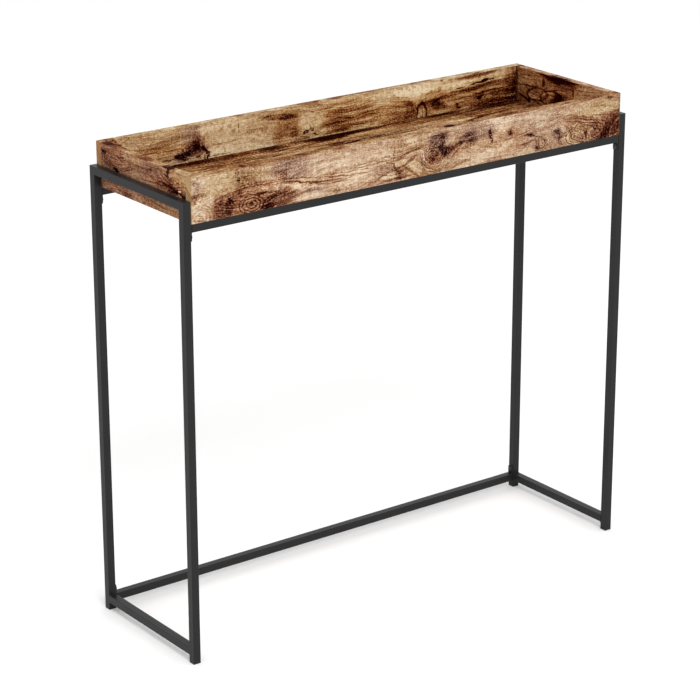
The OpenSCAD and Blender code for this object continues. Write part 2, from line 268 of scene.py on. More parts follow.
REAR_INNER = {
    "knots": [
        (715, 17, 24, 36, 0, 26), (180, 29, 44, 28, 0, 18), (444, 31, 30, 20, 0, 10),
        (861, 33, 22, 14, 0, 9), (560, 45, 90, 34, 0, 10),
    ],
    "rings": [
        (715, 12, 34, 44, 0, -0.22, 5), (184, 32, 40, 24, 0, -0.2, 5), (370, 30, 16, 26, 0, -0.12, 4),
        (803, 30, 10, 9, 0, -0.16, 2),
    ],
    "stains": [
        (126, 44, 90, 20, 0, -0.08), (100, 64, 70, 16, 0, -0.03), (182, 60, 16, 26, 0, -0.12),
        (190, 56, 8, 24, 0, -0.16), (189, 48, 11, 12, 0, -0.08), (187, 36, 23, 11, 0, -0.15),
        (198, 35, 12, 7, -20, -0.12), (206, 35, 8, 4, -30, -0.4), (158, 27, 18, 8, 0, -0.36),
        (172, 32, 18, 4.4, 20, -0.2), (209, 22, 3, 3, 0, -0.45), (216, 20, 3, 3, 0, -0.4),
        (193, 21, 6, 3, 0, -0.3), (208, 16, 2, 4, 0, -0.4), (214, 15, 2, 3, 0, -0.4),
        (205, 54, 4, 4, 0, -0.14), (262, 50, 68, 44, 0, 0.1), (236, 24, 30, 10, 0, 0.14),
        (283, 66, 2, 6, 0, -0.3), (284, 56, 2, 4, 0, -0.24), (262, 69, 5, 3, 0, -0.2),
        (272, 58, 4, 4, 0, -0.2), (250, 74, 4, 3, 0, -0.24), (243, 64, 5, 3, 0, -0.2),
        (252, 24, 2, 4, 0, -0.3), (322, 51, 24, 4, 0, -0.18), (376, 68, 42, 5.2, -6, -0.28),
        (396, 66, 20, 5.2, -4, -0.2), (352, 76, 12, 1.8, 25, -0.24), (374, 58, 4, 3, 0, -0.26),
        (346, 26, 20, 14, 0, 0.06), (400, 42, 22, 60, 0, -0.12), (411, 28, 9, 18, 0, -0.22),
        (392, 34, 24, 24, 0, -0.07), (370, 26, 10, 14, 0, -0.12), (437, 30, 7, 4, 8, -0.6),
        (451, 32, 4, 4, 0, -0.36), (459, 22.5, 9, 1.6, -8, -0.4), (430, 19, 16, 4, 0, -0.26),
        (446, 48, 26, 18, 0, 0.12), (440, 74, 24, 8, 0, -0.05), (420, 76, 5, 2, 0, -0.3),
        (452, 66, 5, 2, 0, -0.26), (536, 40, 60, 70, 0, 0.03), (470, 76, 8, 3, 0, -0.16),
        (516, 71, 44, 5, 3, -0.13), (482, 67, 24, 4, 12, -0.14), (540, 58, 50, 5.4, -2, -0.3),
        (506, 53, 24, 5.4, 0, -0.2), (510, 37, 38, 8.5, 4, -0.3), (502, 35, 22, 6, 0, -0.14),
        (566, 40, 42, 5.4, 3, -0.24), (540, 25, 62, 5.4, 3, -0.28), (500, 20, 36, 4, 0, -0.18),
        (594, 34, 4, 34, 0, -0.06), (616, 58, 24, 22, 0, 0.12), (655, 38, 54, 18, 0, -0.26),
        (684, 46, 20, 5.2, -24, -0.2), (650, 19, 40, 6, 0, -0.26), (745, 72, 100, 14, 0, 0.22),
        (690, 64, 40, 14, 0, 0.14), (640, 72, 50, 8, 0, 0.1), (746, 58, 30, 6, 4, -0.14),
        (688, 24, 18, 14, 30, -0.2), (742, 26, 20, 12, -30, -0.14), (715, 24, 9, 18, 0, 0.12),
        (716, 24, 1.6, 10, 0, -0.16), (744, 42, 20, 5.6, 4, -0.28), (759, 32, 18, 8, -14, -0.3),
        (760, 31, 9, 5.2, 0, -0.22), (700, 44, 7, 7, 0, 0.12), (800, 50, 76, 5.2, 5, -0.22),
        (890, 56, 66, 6, 4, -0.26), (800, 70, 70, 6, 4, 0.12), (840, 60, 70, 4, 4, 0.14),
        (858, 79, 44, 5.2, 3, -0.55), (790, 76, 28, 4, 4, -0.14), (900, 68, 40, 6, 0, 0.06),
        (866, 32, 104, 30, 0, -0.26), (906, 26, 60, 16, 0, -0.14), (820, 44, 56, 4, 4, 0.1),
        # The last two darken a full-height strip along the inside corner with the right board.
        (850, 36, 80, 3, 2, 0.07), (944, 48, 18, 60, 0, -0.26), (952, 48, 8, 60, 0, -0.24),
        (906, 16, 70, 5.6, 0, -0.3), (861, 32, 4.8, 4.6, 0, -0.9), (803, 26, 3.6, 5, 0, -0.34),
        (808, 21, 5, 2.4, 0, -0.36), (763, 81, 3.4, 2.4, 0, -0.4), (22, 72, 18, 3, -36, -0.36),
        (6, 82, 10, 3, 0, -0.45),
    ],
    "lines": [
        (152, 28, 12, 4, -4, -0.4), (163, 22, 9, 4, -10, -0.34), (214, 27, 4, 5, 30, -0.7),
        (210, 33, 3, 3, 0, -0.5), (214, 18, 2, 3, 0, -0.6), (757, 34, 17, 6, -6, -0.16),
        (748, 45, 16, 3.6, 2, -0.14), (872, 65, 21, 2.4, 4, -0.9), (845, 62, 12, 1.6, 8, -0.7),
        (812, 59, 12, 1.6, 6, -0.7), (892, 66, 9, 1.5, 0, -0.6), (252, 39, 46, 0.9, 2, -0.24),
        (112, 44, 50, 1.4, -2, -0.26), (95, 52, 40, 1.2, -4, -0.16), (120, 62, 50, 1.1, 3, -0.16),
        (36, 76, 22, 1.1, 26, -0.24), (90, 72, 30, 1.1, -12, -0.18), (130, 25, 20, 1.5, 3, -0.4),
        (100, 30, 30, 1.3, 3, -0.2), (240, 18, 24, 1.2, 0, -0.34), (900, 44, 50, 1.6, 3, -0.26),
        (880, 36, 60, 1.2, 2, -0.24), (830, 38, 50, 1.2, 4, -0.2), (600, 48, 40, 1.2, 8, -0.22),
        (540, 46, 60, 1.1, 2, -0.18), (660, 62, 40, 1, -8, -0.2), (760, 66, 50, 1, 6, -0.16),
        (500, 30, 50, 1, 4, 0.1), (550, 51, 50, 1.2, 2, 0.1), (540, 66, 60, 1.4, 0, 0.1),
    ],
    "loops": [(715, 14, 12, 28, 0, -0.65)],
    "warm": [],
    "grey": [
        (186, 38, 24, 16, 0, 1), (158, 26, 18, 9, 0, 0.8), (180, 66, 20, 24, 0, 0.9),
        (756, 38, 24, 13, 0, 0.9), (700, 44, 10, 8, 0, 0.6),
    ],
    "red": [
        (530, 44, 74, 40, 0, 1), (396, 50, 34, 44, 0, 0.5), (650, 34, 60, 28, 0, 1),
        # The last one reddens that corner strip.
        (850, 38, 140, 34, 0, 1.2), (190, 44, 22, 26, 0, 0.4), (950, 50, 20, 60, 0, 1),
        (110, 44, 60, 10, 0, 0.7), (780, 62, 100, 14, 4, 0.7),
    ],
}
RIGHT_INNER = {
    "knots": [(108, 37, 44, 26, 0, 26), (60, 37, 44, 22, 10, 16)],
    "rings": [(80, 62, 12, 14, -4, -0.14, 2), (20, 22, 26, 12, -20, -0.12, 3)],
    "stains": [
        (83, 64, 4.4, 9, -4, -0.3), (80, 68, 2, 5, 0, -0.14), (130, 80, 56, 7, 0, -0.4),
        (114, 72, 24, 7, 0, -0.3), (152, 70, 28, 5, 0, -0.2), (132, 42, 22, 9, 14, -0.26),
        (118, 34, 16, 7, 20, -0.24), (40, 21, 5, 5, 0, -0.3), (172, 61, 3, 14, 4, -0.3),
        # The first darkens a full-height strip along the inside corner with the rear board.
        (2, 49, 4, 50, 0, -0.24), (226, 61, 52, 40, 0, 0.25), (60, 39, 16, 8, 0, 0.05),
        (100, 39, 18, 8, 0, 0.06), (138, 55, 12, 4, 10, 0.1), (30, 64, 30, 6, 0, 0.06),
        (50, 30, 14, 5, 20, 0.06), (130, 80, 44, 4, 0, -0.12), (54, 44, 20, 8, 0, -0.12),
        (94, 45, 18, 8, 10, 0.08), (48, 70, 36, 12, 0, 0.06),
    ],
    "lines": [
        (60, 73, 50, 1.2, 4, -0.16), (50, 65, 46, 1.2, 3, -0.14), (34, 50, 36, 1.8, 6, -0.26),
        (18, 27, 24, 1.6, -20, -0.34), (60, 23, 30, 1.4, -14, -0.26), (120, 55, 36, 1.6, 10, -0.2),
        (120, 64, 50, 1.2, 2, -0.16), (220, 66, 40, 1, 10, -0.2), (220, 58, 40, 1, 12, -0.2),
        (220, 72, 40, 1, 8, -0.2),
    ],
    "loops": [(106, 37, 31, 14, 8, -0.32), (66, 38, 30, 12, 8, -0.3), (108, 36, 22, 8, 8, -0.14)],
    "warm": [],
    "grey": [(222, 69, 46, 30, 0, 0.2)],
    "red": [
        (106, 37, 40, 20, 0, 0.35), (66, 38, 36, 18, 0, 0.2), (172, 61, 8, 20, 0, 0.8),
        (130, 78, 60, 12, 0, 0.8),
    ],
}
LEFT_OUTER = {
    "knots": [(60, 50, 60, 26, 0, 10), (220, 56, 60, 26, -10, 12)],
    "rings": [(14, 68, 18, 10, 0, -0.16, 3), (74, 68, 18, 10, 0, -0.14, 3)],
    "stains": [
        (10, 68, 8, 3.4, 0, -0.4), (14, 62, 22, 20, 0, -0.1), (73, 70, 4, 2.4, 0, -0.4),
        (75, 62, 13, 7, 0, 0.1), (51, 43, 10, 3.4, 0, -0.6), (218, 76, 9, 3.4, 65, -0.36),
        (200, 62, 12, 10, 0, 0.08), (160, 66, 10, 5, 30, -0.16), (214, 53, 24, 2.6, -5, -0.5),
        (244, 49, 22, 5.4, -14, -0.36), (262, 43, 14, 3, 0, -0.5), (236, 44, 20, 4, 0, -0.2),
        # The first two on this line are small near-white flecks near the front end.
        (256, 49, 5.2, 1.7, 8, 0.75), (256, 43, 5.6, 1.8, 4, 0.95), (50, 8, 60, 14, 0, -0.08),
        (118, 8, 16, 14, 0, 0.1), (200, 8, 50, 12, 0, 0.05), (130, 50, 40, 10, 0, 0.04),
        (256, 70, 30, 14, 0, 0.1), (110, 74, 24, 5, 4, 0.08), (180, 74, 20, 5, 0, -0.08),
        (100, 54, 26, 12, 0, 0.05), (208, 58, 26, 12, 0, -0.1),
        (30, 54, 26, 12, 0, -0.05), (240, 72, 30, 11, 0, 0.08),
    ],
    "lines": [
        (150, 58, 60, 1.2, 4, -0.1), (110, 66, 60, 1.1, 3, -0.1), (240, 66, 40, 1.2, -8, -0.2),
        (60, 54, 50, 1.2, -3, -0.12), (160, 74, 50, 1, 3, -0.1), (60, 76, 40, 1, 4, -0.16),
        (180, 48, 50, 1.1, 2, -0.2),
    ],
    "loops": [],
    "warm": [(262, 70, 30, 20, 0, 1), (200, 8, 70, 14, 0, 1), (120, 70, 20, 10, 0, 0.8)],
    "grey": [(20, 66, 30, 18, 0, 0.4), (150, 66, 40, 14, 0, 0.4), (200, 8, 80, 14, 0, 0.25)],
    "red": [(40, 70, 40, 20, 0, 0.4), (220, 52, 60, 14, 0, 0.7)],
}
FLOOR_TOP = {
    "knots": [(300, 120, 120, 70, 0, 60), (700, 96, 140, 60, 8, 50), (484, 206, 40, 16, 0, 10)],
    "rings": [
        (300, 116, 70, 40, 0, -0.3, 6), (704, 98, 80, 34, 8, -0.3, 6), (862, 214, 16, 12, 0, -0.3, 2),
        (180, 212, 34, 16, 0, -0.24, 3),
    ],
    "stains": [
        # The dark band along the rear edge, up 258 to 270, where the floor meets the rear board, is partly a
        # printed streak and partly painted contact shade.
        (330, 268, 300, 16, 0, -0.14), (800, 266, 260, 18, 0, -0.14), (206, 262, 86, 15, -2, -0.28),
        (170, 268, 46, 9, 0, -0.2), (350, 258, 36, 20, 0, -0.48), (344, 266, 18, 8, 0, -0.2),
        (484, 261, 52, 16, 2, -0.6), (484, 262, 34, 14, 0, -0.6), (470, 268, 70, 10, 0, -0.26),
        (560, 266, 50, 12, 0, -0.34), (600, 268, 90, 7, 4, -0.2), (640, 262, 50, 8, 0, -0.1),
        (850, 260, 124, 17, -1, -0.31), (926, 264, 48, 12, 0, -0.32), (760, 270, 60, 7, 0, -0.16),
        (250, 232, 100, 26, 0, -0.12), (181, 214, 28, 9, 0, -0.26), (494, 208, 22, 3.6, 0, -0.6),
        (470, 217, 16, 3, 0, -0.45), (440, 222, 34, 3, 0, -0.3), (712, 191, 11, 5, 0, -0.7),
        (715, 197, 5, 3, 0, -0.3), (792, 204, 24, 3, 10, -0.45), (866, 215, 6, 3.4, 0, -0.6),
        (880, 218, 10, 3, 20, -0.3), (231, 197, 8, 5, 0, -0.5), (228, 188, 6, 2, 0, -0.5),
        (330, 222, 60, 12, 0, -0.08), (820, 230, 76, 20, 0, -0.12), (920, 228, 40, 22, 0, -0.24),
        (630, 226, 80, 14, 0, 0.06), (310, 206, 40, 8, 0, 0.08), (126, 226, 8, 20, 0, 0.3),
        (640, 194, 130, 7, 0, 0.1), (420, 194, 70, 6, 0, 0.1), (400, 228, 20, 14, 0, -0.1),
        (450, 206, 16, 6, 0, -0.12), (540, 232, 20, 8, 0, -0.08), (300, 116, 22, 14, 0, -0.5),
        (300, 116, 60, 34, 0, -0.16), (704, 98, 26, 10, 8, -0.5), (708, 96, 80, 26, 8, -0.16),
        (90, 70, 30, 8, 10, -0.3), (880, 60, 40, 10, -6, -0.34), (520, 50, 60, 8, 4, -0.26),
        (450, 150, 120, 16, 0, 0.08), (600, 140, 90, 12, 4, 0.08), (140, 150, 60, 10, 0, -0.16),
        (860, 150, 60, 9, 0, -0.2),
    ],
    "lines": [
        (560, 214, 60, 2, 2, -0.4), (780, 190, 60, 1.8, 4, -0.4), (300, 200, 60, 1.8, -2, -0.34),
        (160, 130, 80, 2, 4, -0.4), (850, 130, 70, 2, -5, -0.4), (500, 100, 60, 2, -6, -0.4),
        (820, 210, 40, 2, 8, -0.4), (400, 240, 60, 2, 2, -0.3), (700, 240, 60, 1.8, -2, -0.3),
        (340, 214, 60, 1.6, 3, -0.3), (620, 204, 60, 1.6, -3, -0.3), (420, 204, 50, 1.8, 2, -0.4),
    ],
    "loops": [],
    "warm": [],
    "grey": [(640, 190, 160, 14, 0, 0.4), (250, 110, 160, 60, 0, 0.3)],
    "red": [
        # The first is the reddening of that rear band, partly print and partly painted contact shade.
        (500, 262, 480, 24, 0, 1.4), (200, 218, 80, 26, 0, 0.8), (850, 240, 120, 30, 0, 0.9),
        (300, 116, 60, 30, 0, 0.7), (420, 224, 100, 20, 0, 0.5),
    ],
}
# The faces that are seen less: the same print, further along the sheet.
SPARE = {
    "knots": [
        (170, 40, 44, 30, 0, 36), (180, 36, 120, 50, 0, 30), (640, 30, 60, 40, 8, 46),
        (880, 56, 40, 26, 0, 22),
    ],
    "rings": [
        (168, 40, 34, 24, 0, -0.4, 5), (644, 30, 44, 28, 10, -0.36, 6), (880, 56, 20, 16, 0, -0.34, 3),
    ],
    "stains": [
        (168, 40, 10, 7, 0, -0.4), (172, 38, 40, 18, 0, -0.16), (130, 34, 14, 12, 0, -0.3),
        (214, 34, 26, 6, -6, -0.4), (644, 30, 14, 9, 10, -0.5), (640, 34, 40, 20, 0, -0.18),
        (600, 44, 10, 8, 0, -0.36), (690, 24, 24, 5, 8, -0.4), (880, 56, 6, 5, 0, -0.6),
        (410, 64, 40, 3, 4, -0.4), (330, 20, 4, 5, 0, -0.6), (760, 14, 30, 3, -4, -0.4),
        (60, 16, 9, 5, 0, -0.45), (520, 12, 4, 4, 0, -0.5), (910, 18, 50, 16, 0, -0.3),
        (480, 50, 70, 12, 0, 0.1), (60, 62, 50, 14, 0, 0.1), (780, 64, 60, 10, 0, 0.1),
    ],
    "lines": [
        (300, 40, 90, 1.3, 3, -0.36), (500, 34, 60, 1.2, -4, -0.34), (800, 40, 80, 1.3, 4, -0.36),
        (420, 24, 50, 1.2, 8, -0.3), (320, 50, 60, 1.1, 2, -0.26), (560, 60, 60, 1.1, -6, -0.26),
    ],
    "loops": [],
    "warm": [(460, 60, 120, 24, 0, 0.7)],
    "grey": [(300, 60, 80, 24, 0, 0.7), (760, 60, 60, 20, 0, 0.7)],
    "red": [(168, 40, 50, 30, 0, 0.8), (644, 30, 60, 30, 0, 0.7), (910, 18, 50, 20, 0, 0.7)],
}

# Colours from the darkest tone to the palest, evenly spaced, as they look in plain white light.
PINKISH = [
    (28, 10, 8), (76, 41, 30), (117, 75, 55), (153, 110, 83),
    (185, 147, 115), (213, 185, 154), (240, 221, 196),
]
YELLOWISH = [
    (24, 6, 4), (80, 40, 22), (120, 75, 43), (154, 113, 75),
    (185, 151, 109), (213, 188, 150), (238, 220, 188),
]
GREYISH = [
    (25, 10, 9), (67, 39, 33), (108, 75, 63), (147, 110, 91),
    (180, 145, 120), (210, 184, 157), (238, 220, 197),
]
REDDISH = [
    (30, 6, 5), (86, 37, 24), (126, 73, 49), (161, 109, 78),
    (190, 148, 110), (215, 186, 152), (240, 220, 191),
]
RUSTY = [
    (30, 5, 4), (90, 36, 18), (128, 73, 38), (161, 111, 65),
    (190, 150, 99), (214, 188, 144), (238, 220, 186),
]
PINK_FAMILY = {"main": PINKISH, "warm": YELLOWISH, "grey": GREYISH, "red": REDDISH}
YELLOW_FAMILY = {"main": YELLOWISH, "warm": YELLOWISH, "grey": GREYISH, "red": RUSTY}

# What the boards' faint gloss adds to every colour, and how bright the light is on their top edges.
SHEEN = 0.002
EDGING_LIGHT = 1.28


def paint(colour, light=1.0):
    """The linear colour that looks like the screen colour where light times plain white light falls on it,
    less the faint white sheen that the finish adds."""
    return tuple(max(channel - SHEEN, 0.0) / light for channel in linear(*colour)[:3]) + (1.0,)


def mark_frame(mark, reach=1.0):
    """Sockets that place a mark, whose edge is then at a distance of 1 from its centre, or of 1 / reach."""
    along, up, half_length, half_height, tilt = mark[:5]
    turn = math.radians(tilt)
    length, height = reach * half_length * MM, reach * half_height * MM
    return {
        "Centre": (along * MM, up * MM, 0.0),
        "Lengthways": (math.cos(turn) / length, math.sin(turn) / length, 0.0),
        "Crossways": (-math.sin(turn) / height, math.cos(turn) / height, 0.0),
    }


def squared_reach(g, place, centre, lengthways, crossways):
    """The square of the distance from a mark's centre, in its own size."""
    away = g.vector("SUBTRACT", place, centre)
    a = g.dot(away, lengthways)
    b = g.dot(away, crossways)
    return g.math("MULTIPLY_ADD", a, a, g.math("MULTIPLY", b, b))


def held(g, value):
    """value, held between 0 and 1."""
    return g.math("MINIMUM", g.math("MAXIMUM", value, 0.0), 1.0)


def build_dome(g, place, centre, lengthways, crossways):
    inside = g.math("SUBTRACT", 1.0, squared_reach(g, place, centre, lengthways, crossways))
    inside = g.math("MAXIMUM", inside, 0.0)
    return g.math("MULTIPLY", inside, inside)


def build_patch(g, place, centre, lengthways, crossways, ragged, strength, start):
    inside = g.math("SUBTRACT", 1.0, squared_reach(g, place, centre, lengthways, crossways))
    cover = held(g, g.math("MULTIPLY", inside, ragged))
    return g.math("MULTIPLY_ADD", cover, strength, start)


def build_outline(g, place, centre, lengthways, crossways, width, strength, start):
    reach = g.math("SQRT", squared_reach(g, place, centre, lengthways, crossways))
    from_line = g.math("DIVIDE", g.math("ABSOLUTE", g.math("SUBTRACT", reach, 1.0)), width)
    cover = held(g, g.math("MULTIPLY_ADD", from_line, -1.4, 1.4))
    return g.math("MULTIPLY_ADD", cover, strength, start)


def build_rings(g, place, centre, lengthways, crossways, count, wobble, strength, start):
    reach = g.math("SQRT", squared_reach(g, place, centre, lengthways, crossways))
    wave = g.math("PINGPONG", g.math("MULTIPLY_ADD", reach, count, wobble), 0.5)
    wave = g.math("POWER", g.math("MULTIPLY", wave, 2.0), 2.0)
    wave = g.math("MULTIPLY", wave, held(g, g.math("MULTIPLY_ADD", reach, -2.5, 2.5)))
    return g.math("MULTIPLY_ADD", wave, strength, start)


# Inside these groups every link joins sockets of one type, so that a long chain of them stays small.
MARK_SOCKETS = ["Place", "Centre", "Lengthways", "Crossways"]
DOME = new_group("dome", MARK_SOCKETS, [], build_dome)
PATCH = new_group("patch", MARK_SOCKETS, ["Ragged", "Strength", "Start"], build_patch)
OUTLINE = new_group("outline", MARK_SOCKETS, ["Width", "Strength", "Start"], build_outline)
RINGS = new_group("rings", MARK_SOCKETS, ["Count", "Wobble", "Strength", "Start"], build_rings)


def total(g, place, marks, sharp, soft, start=0.0):
    """start plus the strengths of the patches that cover each point. sharp and soft say how steeply the
    small and the large ones fade in."""
    value = start
    for mark in marks:
        small = min(mark[2], mark[3]) < 5.0
        sockets = {"Place": place, "Ragged": sharp if small else soft, "Strength": mark[5], "Start": value}
        sockets.update(mark_frame(mark, reach=1.15 if small else 1.3))
        value = g.add("ShaderNodeGroup", sockets, node_tree=PATCH).outputs[0]
    return value


def total_loops(g, place, loops, start):
    """start plus the strengths of the outlines that run through each point."""
    value = start
    for loop in loops:
        sockets = {"Place": place, "Width": 2.2 / min(loop[2], loop[3]), "Strength": loop[5], "Start": value}
        sockets.update(mark_frame(loop))
        value = g.add("ShaderNodeGroup", sockets, node_tree=OUTLINE).outputs[0]
    return value


def total_rings(g, place, marks, wobble, start):
    """start plus the strengths of the rings, which are thin, evenly spaced and fade towards the outside."""
    value = start
    for mark in marks:
        sockets = {"Place": place, "Wobble": wobble, "Count": mark[6], "Strength": mark[5], "Start": value}
        sockets.update(mark_frame(mark))
        value = g.add("ShaderNodeGroup", sockets, node_tree=RINGS).outputs[0]
    return value


def wood_face(g, place, marks, palettes, level, light, contrast, seed):
    """Colour and tone of one printed face. place is (along, up, 0) in metres."""
    wander = g.noise(g.stretch(place, (60, 80, 1), seed), 1.0, detail=5, roughness=0.65, flat=True)[1]
    wander = g.vector("MULTIPLY", g.vector("SUBTRACT", wander, (0.5, 0.5, 0.5)), (0.011, 0.008, 0.0))
    wandering = g.vector("ADD", place, wander)

    # The grain runs along lines of equal height of this field, so it closes into rings round a knot.
    along, up, _ = g.separate(place)
    drift = g.noise(g.stretch(place, (4, 16, 1), seed + 3), 1.0, detail=2, flat=True)[0]
    field = g.math("MULTIPLY_ADD", drift, 0.05, up)
    near_knot = 0.2
    for knot in marks["knots"]:
        dome = g.add("ShaderNodeGroup", {"Place": wandering, **mark_frame(knot)}, node_tree=DOME).outputs[0]
        field = g.math("MULTIPLY_ADD", dome, knot[5] * MM, field)
        near_knot = g.math("ADD", dome, near_knot)
    grain_place = g.combine(along, field)

    def pattern(where, scale, offset, detail=3, roughness=0.6):
        """Noise about zero. scale is in repeats per metre, along and across the grain."""
        moved = g.stretch(where, scale, seed + offset)
        return g.math("SUBTRACT", g.noise(moved, 1.0, detail=detail, roughness=roughness, flat=True)[0], 0.5)

    blotch = pattern(grain_place, (7, 24, 1), 0.0, detail=5, roughness=0.65)
    streak = pattern(grain_place, (14, 170, 1), 1.0, detail=4)
    fibre = pattern(grain_place, (90, 1000, 1), 2.0)
    mottle = pattern(place, (260, 420, 1), 4.0, roughness=0.7)
    speck = pattern(place, (110, 150, 1), 5.0, roughness=0.7)
    saw = pattern(place, (420, 14, 1), 6.0, detail=2)

    ring_step = 4.4 * MM
    wobble = g.math("MULTIPLY_ADD", streak, 1.4, g.math("DIVIDE", field, ring_step))
    ring = g.math("POWER", g.math("FRACT", wobble), 3.0)
    ring = g.math("MULTIPLY", ring, g.remap(near_knot, 0.0, 0.6, 0.0, 0.36))

    tone = level
    weights = ((blotch, 0.6), (streak, 0.62), (fibre, 0.45), (mottle, 0.9), (speck, 0.5), (saw, 0.2))
    for noise, weight in weights:
        tone = g.math("MULTIPLY_ADD", noise, contrast * weight, tone)
    tone = g.math("SUBTRACT", tone, ring)

    # Marks wander along the grain too.
    wandering = g.vector("ADD", wandering, g.combine(0.0, g.math("MULTIPLY", streak, 4.0 * MM)))
    tone = total_rings(g, wandering, marks["rings"], g.math("MULTIPLY", streak, 0.8), tone)

    # Stains go deeper where the grain and the specks are dark already, and their edges follow both.
    sharp = g.math("MULTIPLY_ADD", streak, 5.0, g.math("MULTIPLY_ADD", speck, 6.0, 2.2))
    sharp = g.math("MAXIMUM", sharp, 0.6)
    soft = g.math("MULTIPLY_ADD", streak, 2.6, g.math("MULTIPLY_ADD", speck, 2.4, 1.3))
    soft = g.math("MAXIMUM", soft, 0.5)
    depth = g.math("MULTIPLY_ADD", streak, -2.8, g.math("MULTIPLY_ADD", mottle, -2.0, 1.0))
    depth = g.math("MAXIMUM", depth, 0.3)
    tone = g.math("MULTIPLY_ADD", total(g, wandering, marks["stains"], sharp, soft), depth, tone)
    clean = g.math("MULTIPLY_ADD", sharp, 0.5, 0.8)
    tone = total(g, wandering, marks["lines"], clean, soft, start=tone)
    tone = total_loops(g, wandering, marks["loops"], tone)

    colour = g.ramp(tone, [paint(stop, light) for stop in palettes["main"]])
    for name in ("warm", "grey", "red"):
        if marks[name]:
            cover = g.math("MINIMUM", total(g, wandering, marks[name], sharp, soft), 1.0)
            colour = g.mix(cover, colour, g.ramp(tone, [paint(stop, light) for stop in palettes[name]]))
    return colour, tone


def board_material(name, node, faces, corner, seed):
    """Printed board, lightly embossed. faces lists (axis, side, marks, palettes, level, light, contrast).
    Where a normal points along that side of the axis, that face's print shows, and the first one shows on
    every other face. corner is the point that the marks are measured from."""
    material, g = new_material(name)
    low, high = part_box(node)
    stretched = (18, 420, 420) if high.x - low.x > high.y - low.y else (420, 18, 420)
    emboss = g.noise(g.stretch(object_place(g), stretched, seed), 1.0, detail=3, roughness=0.6)[0]
    x, y, z = g.separate(g.vector("SUBTRACT", object_place(g), tuple(corner)))
    normal = g.separate(object_normal(g))
    from_rear = g.math("MULTIPLY", y, -1.0)
    colour = tone = None
    for i, (axis, side, marks, palettes, level, light, contrast) in enumerate(faces):
        along, up = {X_AXIS: (from_rear, z), Y_AXIS: (x, z), Z_AXIS: (x, y)}[axis]
        face = wood_face(g, g.combine(along, up), marks, palettes, level, light, contrast, seed + 11 * i)
        if colour is None:
            colour, tone = face
            continue
        facing = g.math("GREATER_THAN", g.math("MULTIPLY", normal[axis], side), 0.5)
        colour = g.mix(facing, colour, face[0])
        tone = g.blend_value(facing, tone, face[1])
    roughness = g.remap(tone, 0.0, 1.0, 0.7, 0.5)
    g.finish(colour, roughness, g.bump(emboss, 0.1 * MM, 0.5), Specular_IOR_Level=0.012)
    return material


# ---------------------------------------------------------------- metal, plastic and hidden wood


def powder_coat(name, colour):
    """Baked powder paint: a fine orange peel, faint clouds, and small rubbed flecks."""
    material, g = new_material(name)
    place = object_place(g)
    peel = g.noise(place, 900.0, detail=2)[0]
    cloud = g.noise(place, 14.0, detail=3)[0]
    fleck = g.remap(g.noise(place, 170.0, detail=4, roughness=0.65)[0], 0.64, 0.74)
    shade = g.mix(g.remap(cloud, 0.3, 0.7), colour, tuple(1.12 * c for c in colour[:3]) + (1.0,))
    shade = g.mix(fleck, shade, tuple(1.5 * c for c in colour[:3]) + (1.0,))
    roughness = g.math("MULTIPLY_ADD", fleck, 0.12, g.remap(peel, 0.3, 0.7, 0.27, 0.37))
    g.finish(shade, roughness, g.bump(peel, 0.03 * MM, 0.5), Specular_IOR_Level=0.135)
    return material


def plain_material(name, colour, roughness, metallic=0.0):
    material, g = new_material(name)
    place = object_place(g)
    grain = g.noise(place, 700.0, detail=3)[0]
    shade = g.mix(g.remap(grain, 0.3, 0.7), colour, tuple(1.2 * c for c in colour[:3]) + (1.0,))
    g.finish(shade, g.remap(grain, 0.3, 0.7, roughness - 0.06, roughness + 0.06),
             g.bump(grain, 0.03 * MM), Metallic=metallic)
    return material


def edging_material(name, node, palettes, level, end_level, stains, seed):
    """Edge band with the same print, which changes quickly along it. The strips on a long board's ends have
    their own level. stains lists (along, across, half length, half width, strength)."""
    material, g = new_material(name)
    low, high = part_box(node)
    x, y, z = g.separate(g.vector("SUBTRACT", object_place(g), (low.x, high.y, low.z)))
    lengthways = high - low
    along, across = (x, g.math("MULTIPLY", y, -1.0))
    if lengthways.y > lengthways.x:
        along, across = across, along
    place = g.combine(along, g.math("ADD", across, z))
    blotch = g.noise(g.stretch(place, (30, 60, 1), seed), 1.0, detail=5, roughness=0.7, flat=True)[0]
    streak = g.noise(g.stretch(place, (200, 420, 1), seed), 1.0, detail=4, roughness=0.7, flat=True)[0]
    blotch = g.math("SUBTRACT", blotch, 0.5)
    streak = g.math("SUBTRACT", streak, 0.5)
    facing_end = g.math("GREATER_THAN", g.math("ABSOLUTE", g.separate(object_normal(g))[0]), 0.5)
    tone = g.blend_value(facing_end, level, end_level)
    tone = g.math("MULTIPLY_ADD", blotch, 1.15, tone)
    tone = g.math("MULTIPLY_ADD", streak, 1.3, tone)
    wander = g.combine(g.math("MULTIPLY", blotch, 12.0 * MM), g.math("MULTIPLY", streak, 8.0 * MM))
    wandering = g.vector("ADD", g.combine(along, across), wander)
    sharp = g.math("MAXIMUM", g.math("MULTIPLY_ADD", streak, 6.0, 2.0), 0.6)
    marks = [(at, over, half, wide, 0, strength) for at, over, half, wide, strength in stains]
    tone = total(g, wandering, marks, sharp, sharp, start=tone)
    colour = g.ramp(tone, [paint(stop, EDGING_LIGHT) for stop in palettes["main"]])
    browner = held(g, g.math("MULTIPLY_ADD", tone, -3.0, 2.2))
    colour = g.mix(browner, colour, g.ramp(tone, [paint(stop, EDGING_LIGHT) for stop in palettes["red"]]))
    g.finish(colour, 0.5, Specular_IOR_Level=0.008)
    return material


def dress(node, material):
    """Puts the material on a CAD node."""
    mesh_object = NODES[node]
    if not mesh_object.material_slots:
        mesh_object.data.materials.append(material)
    for slot in mesh_object.material_slots:
        slot.material = material


